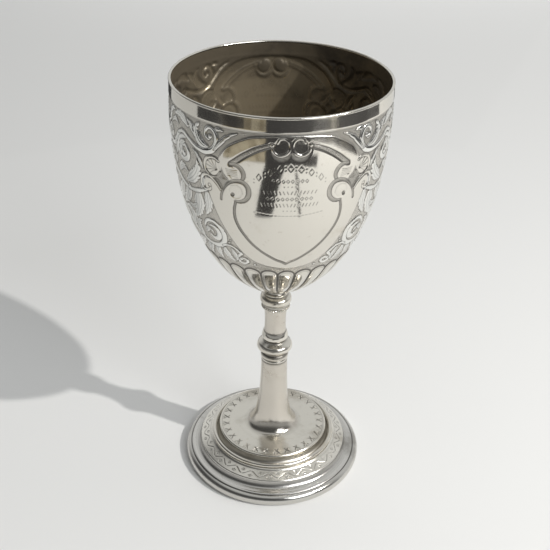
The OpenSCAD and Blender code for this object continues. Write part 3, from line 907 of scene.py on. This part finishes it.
def make_stem(metal, tube_metal):
    bore = ROD_R + PLAY
    neck = [(5.1, 0), (5.5, 0.5), (5.5, 0.9), (5.0, 1.3), (4.7, 1.7), (4.7, 2.3), (5.2, 2.9), (6.2, 3.4),
            (6.4, 3.9), (6.4, 4.4)]
    turned("neck", lifted([(bore, 0), *neck, (bore, 4.4)], Z_COLLAR), metal, "bowl_collar")
    ogee = smooth([(6.1, 1.2), (6.8, 1.8), (7.15, 2.6), (7.15, 3.5), (6.9, 4.5), (6.2, 5.2), (5.3, 5.7)], 6)
    turned("knop", lifted([(bore, 0), (6.1, 0), *ogee, (bore, 5.7)], Z_KNOP), metal, "upper_knop")
    waist = smooth([(5.15, 0), (5.0, 1.04), (4.88, 5.2), (4.95, 8.45), (5.25, 13)], 6)
    barrel = lifted([(BARREL_BORE, 0), *waist, (BARREL_BORE, 13)], Z_BARREL)
    turned("barrel", barrel, tube_metal, "stem_barrel")
    ring = smooth([(5.2, 0), (5.6, 0.4), (6.05, 1.2), (6.05, 2.4), (5.7, 3.6), (5.3, 4.6)], 6)
    turned("ring_top", lifted([(bore, 0), *ring, (bore, 4.6)], Z_TOP), metal, "knop_top_ring")
    ring = smooth([(5.9, 0), (5.9, 0.5), (6.1, 1.1), (7.2, 1.6), (8.1, 2.6), (8.25, 3.9), (7.7, 5.2),
                   (6.5, 6.0), (5.45, 6.7), (5.4, 7.3)], 6)
    turned("ring_main", lifted([(bore, 0), *ring, (bore, 7.3)], Z_MAIN), metal, "knop_main_ring",
           edge_shade=(0.95, 0.9), edge_shade_reach=(0.9, 0.7))
    ring = smooth([(6.1, 0), (6.2, 0.5), (6.1, 1.0), (5.9, 1.5), (6.4, 1.9), (6.55, 2.7), (6.3, 3.6),
                   (5.9, 4.2)], 6)
    turned("ring_lower", lifted([(bore, 0), *ring, (bore, 4.2)], Z_LOWER), metal, "knop_lower_ring",
           edge_shade=(0.9, 0.95), edge_shade_reach=(0.4, 1.1))
    tall = Z_LOWER - Z_TRUMPET
    flare = smooth([(16.5, 0.02), (14.6, 0.12), (13.0, 0.36), (11.8, 0.95), (10.8, 2.1), (9.7, 4.1),
                    (8.7, 6.7), (7.9, 10), (7.25, 14), (6.8, 19), (6.35, 28), (6.1, tall)], 8)
    inner = lifted([(5.1, 0), (5.4, -12), (6.2, -24), (7.6, -31.5)], Z_LOWER)
    trumpet = [*lifted([(8.2, 0.45), (16.4, -0.03), *flare], Z_TRUMPET), *inner]
    turned("trumpet", trumpet, tube_metal, "trumpet_stem", edge_shade=(0, 0.75), edge_shade_reach=(1, 0.6))


def make_beads(metal):
    count, radius, path_r = 36, 0.5, 6.2
    rows, cols = 9, 16
    band = lifted([(BARREL_BORE, 0), (6.1, 0), (6.1, 1.4), (BARREL_BORE, 1.4)], Z_BEADS)
    # Painted shade over the band between and behind the beads
    marks = {"dark": np.full((1, 1), 0.5), "matt": NONE}
    put(shell("bead_band", spin(rounded(band, 0.1), 144), loop=True, marks=marks), metal, "bead_ring")
    verts, faces = [], []
    for b in range(count):
        a = math.radians((b + 0.5) * 360 / count)
        centre = np.array([path_r * math.sin(a), -path_r * math.cos(a), Z_BEADS + 0.7])
        base = len(verts)
        verts.append(centre + [0, 0, -radius])
        for i in range(1, rows):
            lat = -math.pi / 2 + math.pi * i / rows
            for j in range(cols):
                lon = 2 * math.pi * j / cols
                outwards = np.array([math.cos(lat) * math.cos(lon), math.cos(lat) * math.sin(lon),
                                     math.sin(lat)])
                verts.append(centre + radius * outwards)
        verts.append(centre + [0, 0, radius])
        top = len(verts) - 1
        for j in range(cols):
            n = (j + 1) % cols
            faces.append((base, base + 1 + n, base + 1 + j))
            faces.append((top, top - cols + j, top - cols + n))
            for i in range(rows - 2):
                lo, hi = base + 1 + i * cols, base + 1 + (i + 1) * cols
                faces.append((lo + j, lo + n, hi + n, hi + j))
    mesh = bpy.data.meshes.new("beads")
    mesh.from_pydata([tuple(v * MM) for v in verts], [], faces)
    mesh.polygons.foreach_set("use_smooth", [True] * len(mesh.polygons))
    mesh.update()
    put(linked("beads", mesh), metal)


def make_foot_disc(metal):
    """The disc, its rolled lip and its riser, with a ring of sprigs cut round the disc's edge."""
    def disc(r):
        return Z_DISC - FALL * r

    roll = smooth([(27.4, Z_DISC - 5.0), (26.6, Z_DISC - 4.2), (26.2, Z_DISC - 3.2), (26.1, Z_DISC - 2.3),
                   (26.1, Z_DISC - 1.7), (25.7, Z_DISC - 1.25)], 5)
    top = np.stack([np.linspace(25.2, 20.2, 40), disc(np.linspace(25.2, 20.2, 40))], 1)
    under = [(DISC_HOLE_R, disc(DISC_HOLE_R) - SHEET), (24.4, disc(25) - SHEET), (24.9, Z_DISC - 2.6),
             (25.2, Z_DISC - 4.4), (25.9, Z_SHELF)]
    section = rounded([*under, (27.4, Z_SHELF), *roll, *top, (DISC_HOLE_R, disc(DISC_HOLE_R))], 0.16)
    r, z = section[:, :1], section[:, 1:]
    on_top = (z > disc(25.6) - 0.3) & (r > 20.4) & (r < 25.3)

    sprigs, cols = 29, 1160
    x = np.abs((np.arange(cols) * sprigs / cols) % 1 - 0.5)[None, :]  # 0.5 on a sprig, 0 midway between two
    on, v = (0.5 - x) * 2 * math.pi * r / sprigs, r - 21.2
    sprig = np.minimum.reduce([
        off_line(on, v, (0, 1.5), (1.0, 2.55)),
        off_line(on, v, (0, 1.5), (0.75, 0.35)),
        off_line(on, v, (0, 2.9), (0, 3.3)),
        off_line(on, v, (1.0, 2.55), (1.25, 3.15)),
    ])
    cut = np.where(on_top, unit(1.5 - 1.5 * sprig / 0.26), 0)
    bulge = np.sin(unit(v / 3.6) * math.pi) * np.cos(x * math.pi) ** 0.5
    edge_line = np.where(on_top, np.exp(-(((r - 24.95) / 0.13) ** 2)), 0)
    push = np.where(on_top, -0.2 * cut + 0.1 * bulge, 0) - 0.06 * edge_line
    # Painted shade on the riser under the rolled lip
    riser = 0.45 * ((r > 26.0) & (z > Z_SHELF + 0.05) & (z < Z_DISC - 2.2))
    dark = np.maximum(np.maximum(crevice_shade(section)[:, None], cut * 0.9), np.maximum(riser, edge_line * 0.6))
    piece = shell("foot_disc", spin(section, cols, push), loop=True, marks={"dark": dark, "matt": NONE})
    put(piece, metal, "foot_dome")


def make_foot_moulding(metal):
    wire, wire_r, wire_z = 1.15, 28.65, Z_SHELF + 0.95
    angles = np.linspace(-0.95, math.pi + 0.95, 28)
    ring = [(wire_r + wire * math.cos(t), wire_z + wire * math.sin(t)) for t in angles]
    ring = [p for p in ring if p[1] > Z_SHELF]
    section = [(ring[-1][0], Z_SHELF), (ring[0][0], Z_SHELF), *ring]
    turned("foot_bead", section, metal, "foot_moulding", cols=300, ease=0.05, edge_shade=(0.8, 0))


def make_flange(metal):
    """The shelf, the sloping band with its wavy line, the drop and the skirt."""
    drop = smooth([(SKIRT_R, 5.62), (37.6, 5.68), (36.8, 5.95), (36.1, 6.6), (35.6, 7.5), (35.38, 8.4),
                   (35.25, 8.9)], 5)
    slope = np.stack([np.linspace(34.95, 31.2, 34), np.linspace(9.2, 10.9, 34)], 1)
    cove = smooth([(30.6, 11.2), (30.1, 11.7)], 3)
    under = [(29.3, Z_SHELF - SHEET), (30.8, 9.9), (34.2, 8.5), (34.4, 7.3), (35.0, 6.0), (36.0, 5.0),
             (SKIRT_R - SHEET, 4.2), (SKIRT_R - SHEET, 1)]
    shelf = [(29.8, Z_SHELF), (26.2, Z_SHELF), (26.2, Z_SHELF - SHEET)]
    section = rounded([*under, (SKIRT_R, 1), *drop, *slope, *cove, *shelf], 0.16)
    r, z = section[:, :1], section[:, 1:]
    on_band = (z > 9.2) & (z < 11.05) & (r > 31.0) & (r < 34.8)

    waves, cols = 24, 1440
    wave = 2 * math.pi * 33 / waves  # the length of one wave, along the middle of the band
    width = 3.4
    across = (r - 31.1) / width
    u = (np.arange(cols) * waves / cols) % 1
    swing = np.abs(u * 2 - 1)[None, :]
    gap = np.abs((across - 0.2) - (0.5 - 0.5 * np.cos(swing * math.pi)) * 0.58) * width * 0.75
    line = unit(1.5 - 1.5 * gap / 0.2) * unit((0.46 - np.abs(swing - 0.5)) / 0.06)
    up = np.hypot(np.minimum(u, 1 - u)[None, :] * wave, (across - 0.34) * width)
    down = np.hypot(np.abs(u - 0.5)[None, :] * wave, (across - 0.66) * width)
    dots = unit(1.6 - 1.6 * np.minimum(up, down) / 0.42)
    ring_up = np.where(across < 0.34, np.abs(up - 0.8), 9)
    ring_down = np.where(across > 0.66, np.abs(down - 0.8), 9)
    hooks = unit(1.5 - 1.5 * np.minimum(ring_up, ring_down) / 0.2)
    cut = np.where(on_band, np.maximum(np.maximum(line, dots), hooks * 0.9), 0)
    # Painted shade down the drop below the band
    painted_shade = np.where(r > 35.2, 0.45 * unit((z - 5.75) / 0.8) * unit((9.0 - z) / 0.6), 0)
    dark = np.maximum(np.maximum(crevice_shade(section)[:, None], cut * 0.8), painted_shade)
    marks = {"dark": dark, "matt": NONE}
    put(shell("foot_steps", spin(section, cols, -0.1 * cut), marks, loop=True), metal, "foot_flange")


def make_foot_wire(metal):
    """The wire that the goblet stands on, with a groove round its top and a low ridge inside it."""
    wire, wire_z = 2.9, 2.2
    centre = FOOT_R - wire
    start = -math.asin(wire_z / wire)
    end = math.acos((40.35 - centre) / wire)
    arc = [(centre + wire * math.cos(t), wire_z + wire * math.sin(t)) for t in np.linspace(start, end, 34)]
    ridge = smooth([(40.1, 4.92), (39.85, 5.2), (39.4, 5.45), (38.8, 5.59), (SKIRT_R, 5.62)], 5)
    turned("foot_wire", [(SKIRT_R, 0), *arc, *ridge], metal, "foot_rim", cols=480, ease=0.12, edge_shade=(0, 0))


def make_lip(metal):
    wire = half_width("lip_wire") - (RIM_R - WALL / 2)
    centre_r, centre_z = RIM_R - WALL / 2, highest("lip_wire") - wire
    dip = math.asin((centre_z - lowest("lip_wire")) / wire)
    angles = np.linspace(-dip, math.pi + dip, 24)
    arc = [(centre_r + wire * math.cos(t), centre_z + wire * math.sin(t)) for t in angles]
    turned("lip", arc, metal, "lip_wire", cols=480, ease=0.04, edge_shade=(0, 0))


bright = (0.76, 0.73, 0.665)
warm = (0.60, 0.55, 0.455)
chased = silver("silver_chased", bright, warm, 0.15, 0.07, turned=False, scratch=0.2)
polished = silver("silver_turned", bright, warm, 0.35, 0.12)
cream = (0.78, 0.75, 0.68)
cream_stained = (0.52, 0.485, 0.42)
grey = (0.64, 0.625, 0.59)
grey_stained = (0.42, 0.405, 0.375)
satin = silver("silver_satin", (0.68, 0.64, 0.575), (0.52, 0.475, 0.41), 0.45, 0.22, scratch=0.1,
               below=(Z_TRUMPET + 0.15, Z_TRUMPET + 1.2, cream, cream_stained, 0.17),
               polish=(Z_TRUMPET + 7, 0.13))
worn = silver("silver_worn", cream, cream_stained, 0.45, 0.17, scratch=0.1)
pale_grey = (0.72, 0.705, 0.67)
flange = silver("silver_flange", (0.86, 0.83, 0.76), cream_stained, 0.2, 0.17, scratch=0.12,
                below=(8.6, 9.3, pale_grey, grey_stained, 0.15))
tarnished = silver("silver_tarnished", pale_grey, grey_stained, 0.3, 0.14, scratch=0.12,
                   below=(4.7, 5.3, grey, grey_stained, 0.14))
# The inside's dark brown is tarnish, and painted shade for the inside of the bowl
inside = silver("silver_inside", (0.315, 0.262, 0.18), (0.12, 0.10, 0.073), 0.6, 0.18, scratch=0.1, metal=0.5)
bare_brass = brass("brass")

make_bowl(chased, inside)
make_lip(polished)
make_stem(polished, satin)
make_beads(polished)
make_foot_disc(worn)
make_foot_moulding(polished)
make_flange(flange)
make_foot_wire(tarnished)
for name in ("tie_rod", "cup_washer", "rod_nut"):
    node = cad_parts[name]
    node.data.materials.clear()
    node.data.materials.append(bare_brass)


# ---- Stage, lights and camera ---------------------------------------------


def staged(name, points, faces, material):
    mesh = bpy.data.meshes.new(name)
    mesh.from_pydata(points, [], faces)
    mesh.materials.append(material)
    made = linked(name, mesh)
    return made


def flag(name, corners, material, height=0.0006):
    """A sheet on the floor that only the goblet's reflections see, painting reflections into the metal; it
    casts no shadow.
    corners go (distance, angle from the front) along its near edge and back along its far one."""
    points = [(r * math.sin(math.radians(t)), -r * math.cos(math.radians(t)), height) for r, t in corners]
    made = staged(name, points, [tuple(range(len(points)))], material)
    made.visible_camera = False
    made.visible_diffuse = False
    made.visible_shadow = False


def sector(near, far, start, end):
    angles = np.linspace(start, end, 25)
    return [(near, t) for t in angles] + [(far, t) for t in angles[::-1]]


def lamp(name, size, place, aim, power, colour=(1, 1, 1)):
    data = bpy.data.lights.new(name, "AREA")
    data.shape = "RECTANGLE"
    data.size, data.size_y = size
    data.energy = power
    data.color = colour
    made = linked(name, data)
    made.location = place
    made.rotation_euler = (Vector(aim) - Vector(place)).to_track_quat("-Z", "Y").to_euler()
    return made


paper = plain("paper", (0.80, 0.80, 0.79), 0.9)
staged("floor", [(-4, -4, 0), (4, -4, 0), (4, 4, 0), (-4, 4, 0)], [(0, 1, 2, 3)], paper)
black = plain("black_reflection_card", (0.03, 0.029, 0.03), 0.9)
flag("flag_far", sector(0.565, 2.5, -93, 106), black)
flag("flag_middle", sector(0.335, 0.44, -19, 31), black)
flag("flag_behind_middle", sector(0.44, 0.565, -19, 24), black)
flag("flag_right", [(0.53, 24), (0.515, 34), (0.5, 46), (0.44, 60), (0.4, 70), (0.37, 76), (0.565, 90),
                    (0.565, 70), (0.565, 50), (0.565, 24)], black)
flag("flag_wide_strip", [(0.195, -31), (0.195, -13), (0.345, 0), (0.345, -19)], black)
flag("flag_thin_strip", [(0.2, 17), (0.2, 19.5), (0.31, 12), (0.31, 9.5)], black)
flag("flag_back", sector(0.4, 2.5, 152, 212), black)
# A mottled warm card that only the reflections see: a painted warm reflection in the bowl
warm_reflection = mottled("warm_reflection_card", (0.50, 0.45, 0.34), (0.20, 0.165, 0.105))
flag("card_warm", sector(0.365, 0.565, -62, -19), warm_reflection, 0.0009)
flag("card_warm_far", sector(0.565, 0.62, -40, -19), warm_reflection, 0.0009)
flag("flag_left", sector(0.535, 0.575, -93, -46), black, 0.0012)
flag("flag_right_edge", sector(0.535, 0.575, 52, 106), black, 0.0012)
# A pale card that only the reflections see: a painted pale reflection
pale = plain("pale_card", (0.7, 0.68, 0.6), 0.9)
flag("card_pale", [(0.555, 38), (0.555, 52), (0.572, 48), (0.58, 45)], pale, 0.0009)

lamp("key", (0.03, 0.03), (0.94, -0.54, 0.93), (0, 0, 0.1), 12.5, (1.0, 0.98, 0.95))
lamp("window", (0.7, 0.8), (0.75, -1.1, 0.95), (0, 0, 0.1), 8.5, (0.96, 0.98, 1.0))
backdrop = lamp("backdrop", (1.1, 0.3), (0.3, 1.12, 0.42), (0.3, 1.12, 0), 1.6)
backdrop.visible_camera = False
backdrop.visible_glossy = False

# The room is dim in front and to the left, up to a pale ceiling, and pale behind and to the right
world = bpy.data.worlds.new("studio")
room = Nodes(world, "Background", "Generated")
way = room.add("ShaderNodeSeparateXYZ")
room.plug(room.place, way.inputs[0])
toward = room.math("ADD", room.math("MULTIPLY", way.outputs["X"], 0.45), way.outputs["Y"])
skyline = room.ramp(way.outputs["Z"], 0.08, 0.3, 0.4, 0.09)
ceiling = room.ramp(way.outputs["Z"], 0.66, 0.95, skyline, 0.66)
room.plug(room.ramp(toward, 0.0, 0.6, ceiling, 0.74), room.shader.inputs["Strength"])
room.plug((0.88, 0.89, 0.885, 1), room.shader.inputs["Color"])
bpy.context.scene.world = world

# The camera stands 5.5 degrees to the left of the shield's middle, and looks down on the goblet.
AROUND = math.radians(5.5)  # where it stands, from the front towards -X
HEADING = math.radians(5.393)  # where it looks, a little past the goblet's axis
PITCH, ROLL = math.radians(31.52), math.radians(1.475)
DISTANCE, HEIGHT = 0.36246, 0.32304

camera_data = bpy.data.cameras.new("camera")
camera_data.lens = 61.97
camera_data.sensor_width = 36
camera_data.clip_start, camera_data.clip_end = 0.01, 20
camera = linked("camera", camera_data)
forward = Vector((math.sin(HEADING) * math.cos(PITCH), math.cos(HEADING) * math.cos(PITCH), -math.sin(PITCH)))
right = forward.cross(Vector((0, 0, 1))).normalized()
above = right.cross(forward)
side = right * math.cos(ROLL) + above * math.sin(ROLL)
top = above * math.cos(ROLL) - right * math.sin(ROLL)
camera.matrix_world = Matrix((
    (side.x, top.x, -forward.x, -DISTANCE * math.sin(AROUND)),
    (side.y, top.y, -forward.y, -DISTANCE * math.cos(AROUND)),
    (side.z, top.z, -forward.z, HEIGHT),
    (0, 0, 0, 1),
))
bpy.context.scene.camera = camera
bpy.context.scene.view_settings.view_transform = "Standard"
